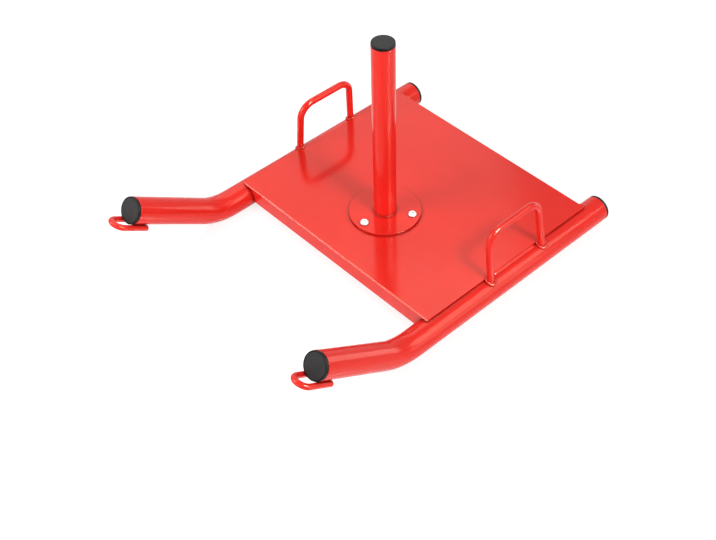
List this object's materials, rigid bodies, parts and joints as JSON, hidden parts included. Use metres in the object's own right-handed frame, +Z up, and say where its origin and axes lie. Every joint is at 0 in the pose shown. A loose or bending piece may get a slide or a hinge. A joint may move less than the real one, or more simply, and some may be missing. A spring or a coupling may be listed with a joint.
{
  "type": "drag sled",
  "caption": "Training sled to be pulled over the ground: bent tube runners under a sheet deck, an upright post for weight plates, rod handles at the sides and tow loops under the tips.",
  "frame": {"origin": "on the floor, under the middle of the sled's bounding box", "axes": "+Z up along the post; -Y towards the front, where the raised runner tips and the tow loops are; +X to the right for someone who faces the sled's front, and nodes named right lie on that side; X=0 is the plane of symmetry"},
  "size_m": [0.648, 0.886, 0.5106],
  "materials": {
    "red_paint": "gloss",
    "black_plastic": "satin",
    "zinc_steel": "bright zinc plated"
  },
  "bodies": {
    "root": {"left_runner": "red_paint", "right_runner": "red_paint", "left_handle": "red_paint", "right_handle": "red_paint", "left_tow_loop": "red_paint", "right_tow_loop": "red_paint", "deck_plate": "red_paint", "front_crossbar": "red_paint", "mid_crossbar": "red_paint", "rear_crossbar": "red_paint", "post_flange": "red_paint", "post_tube": "red_paint", "post_weld": "red_paint", "left_handle_front_weld": "red_paint", "left_handle_rear_weld": "red_paint", "left_deck_weld": "red_paint", "left_corner_weld": "red_paint", "left_loop_weld_1": "red_paint", "left_loop_weld_2": "red_paint", "right_handle_front_weld": "red_paint", "right_handle_rear_weld": "red_paint", "right_deck_weld": "red_paint", "right_corner_weld": "red_paint", "right_loop_weld_1": "red_paint", "right_loop_weld_2": "red_paint", "left_rear_cap": "black_plastic", "right_rear_cap": "black_plastic", "left_front_cap": "black_plastic", "right_front_cap": "black_plastic", "post_cap": "black_plastic", "flange_bolt_1": "zinc_steel", "flange_bolt_2": "zinc_steel", "flange_bolt_3": "zinc_steel", "flange_washer_1": "zinc_steel", "flange_washer_2": "zinc_steel", "flange_washer_3": "zinc_steel", "flange_nut_1": "zinc_steel", "flange_nut_2": "zinc_steel", "flange_nut_3": "zinc_steel"}
  },
  "joints": []
}
